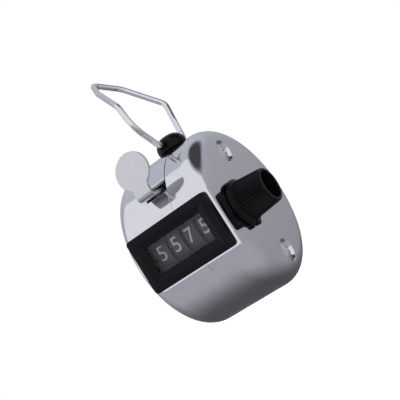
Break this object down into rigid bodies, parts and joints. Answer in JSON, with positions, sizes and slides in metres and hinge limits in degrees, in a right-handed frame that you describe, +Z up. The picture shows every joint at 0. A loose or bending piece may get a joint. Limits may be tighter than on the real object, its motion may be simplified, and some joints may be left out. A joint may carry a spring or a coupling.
{
  "type": "hand tally counter",
  "caption": "Palm-held mechanical tally counter: chrome drum case, four-digit window, thumb lever, reset knob and swinging wire finger ring.",
  "frame": {"origin": "centre of the case drum, on its axis, midway between the two side faces", "axes": "+X along the drum's axis towards the reset knob, -Y faces the digit window, +Z up to the finger ring"},
  "size_m": [0.0382, 0.0464, 0.0726],
  "materials": {
    "chrome_case": "polished chrome plate",
    "chrome_wire": "polished chrome plated wire",
    "black_plastic": "semi-gloss moulded black plastic",
    "clear_lens": "clear moulded plastic",
    "satin_steel": "tumbled satin nickel",
    "screw_steel": "bright nickel plate",
    "wheel_plastic": "matt dark grey with light grey numerals",
    "pinion_plastic": "natural acetal",
    "zinc_steel": "zinc plated sheet and bar",
    "brass": "turned brass",
    "spring_steel": "bare spring steel"
  },
  "bodies": {
    "case": {"case_left": "chrome_case", "case_right": "chrome_case", "window_bezel": "black_plastic", "window_lens": "clear_lens", "frame_plate_left": "zinc_steel", "frame_plate_right": "zinc_steel", "frame_posts": "brass", "case_screws": "screw_steel", "pinion_shaft": "zinc_steel", "shaft_bush": "brass", "lever_pin": "zinc_steel", "lever_spring": "spring_steel", "detent_spring": "spring_steel", "ring_mount": "black_plastic"},
    "lever": {"thumb_lever": "satin_steel", "lever_link_pin": "zinc_steel"},
    "ratchet_arm": {"pawl_carrier": "zinc_steel", "pawl_pin": "zinc_steel"},
    "pawl": {"drive_pawl": "spring_steel"},
    "knob": {"reset_knob": "black_plastic", "wheel_shaft": "zinc_steel", "shaft_clip": "spring_steel", "knob_screw": "screw_steel"},
    "ring": {"finger_ring": "chrome_wire"},
    "thousands_wheel": {"wheel_thousands": "wheel_plastic", "reset_spring_thousands": "spring_steel"},
    "thousands_pinion": {"pinion_thousands": "pinion_plastic"},
    "hundreds_wheel": {"wheel_hundreds": "wheel_plastic", "reset_spring_hundreds": "spring_steel"},
    "hundreds_pinion": {"pinion_hundreds": "pinion_plastic"},
    "tens_wheel": {"wheel_tens": "wheel_plastic", "reset_spring_tens": "spring_steel"},
    "tens_pinion": {"pinion_tens": "pinion_plastic"},
    "units_wheel": {"wheel_units": "wheel_plastic", "reset_spring_units": "spring_steel"}
  },
  "joints": [
    {"name": "lever_press", "type": "hinge", "parent": "case", "child": "lever", "pos_m": [0, -0.0136, 0.0124], "axis": [1, 0, 0], "range_deg": [-14, 0], "stiffness_Nm_per_rad": 0.08, "springref_deg": 11.46},
    {"name": "ratchet_arm_swing", "type": "hinge", "parent": "case", "child": "ratchet_arm", "pos_m": [0, -0.009, 0.0006], "axis": [1, 0, 0], "range_deg": [0, 36]},
    {"name": "pawl_lift", "type": "hinge", "parent": "ratchet_arm", "child": "pawl", "pos_m": [0, -0.0152, -0.00166], "axis": [1, 0, 0], "range_deg": [-12, 0], "stiffness_Nm_per_rad": 0.002, "springref_deg": 11.46},
    {"name": "units_spin", "type": "hinge", "parent": "ratchet_arm", "child": "units_wheel", "pos_m": [0, -0.009, 0.0006], "axis": [1, 0, 0], "continuous": true},
    {"name": "tens_spin", "type": "hinge", "parent": "case", "child": "tens_wheel", "pos_m": [0, -0.009, 0.0006], "axis": [1, 0, 0], "continuous": true},
    {"name": "hundreds_spin", "type": "hinge", "parent": "case", "child": "hundreds_wheel", "pos_m": [0, -0.009, 0.0006], "axis": [1, 0, 0], "continuous": true},
    {"name": "thousands_spin", "type": "hinge", "parent": "case", "child": "thousands_wheel", "pos_m": [0, -0.009, 0.0006], "axis": [1, 0, 0], "continuous": true},
    {"name": "tens_pinion_spin", "type": "hinge", "parent": "case", "child": "tens_pinion", "pos_m": [0, 0.00245, -0.00357], "axis": [1, 0, 0], "continuous": true},
    {"name": "hundreds_pinion_spin", "type": "hinge", "parent": "case", "child": "hundreds_pinion", "pos_m": [0, 0.00245, -0.00357], "axis": [1, 0, 0], "continuous": true},
    {"name": "thousands_pinion_spin", "type": "hinge", "parent": "case", "child": "thousands_pinion", "pos_m": [0, 0.00245, -0.00357], "axis": [1, 0, 0], "continuous": true},
    {"name": "knob_turn", "type": "hinge", "parent": "case", "child": "knob", "pos_m": [0.02, -0.009, 0.0006], "axis": [1, 0, 0], "continuous": true},
    {"name": "ring_swing", "type": "hinge", "parent": "case", "child": "ring", "pos_m": [0.003, 0, 0.0245], "axis": [0, 1, 0], "range_deg": [-64, 82]}
  ],
  "couplings": [
    {"joint": "ratchet_arm_swing", "follows": "lever_press", "ratio": -2.5714},
    {"joint": "tens_pinion_spin", "follows": "tens_spin", "ratio": -2.5},
    {"joint": "hundreds_pinion_spin", "follows": "hundreds_spin", "ratio": -2.5},
    {"joint": "thousands_pinion_spin", "follows": "thousands_spin", "ratio": -2.5}
  ]
}
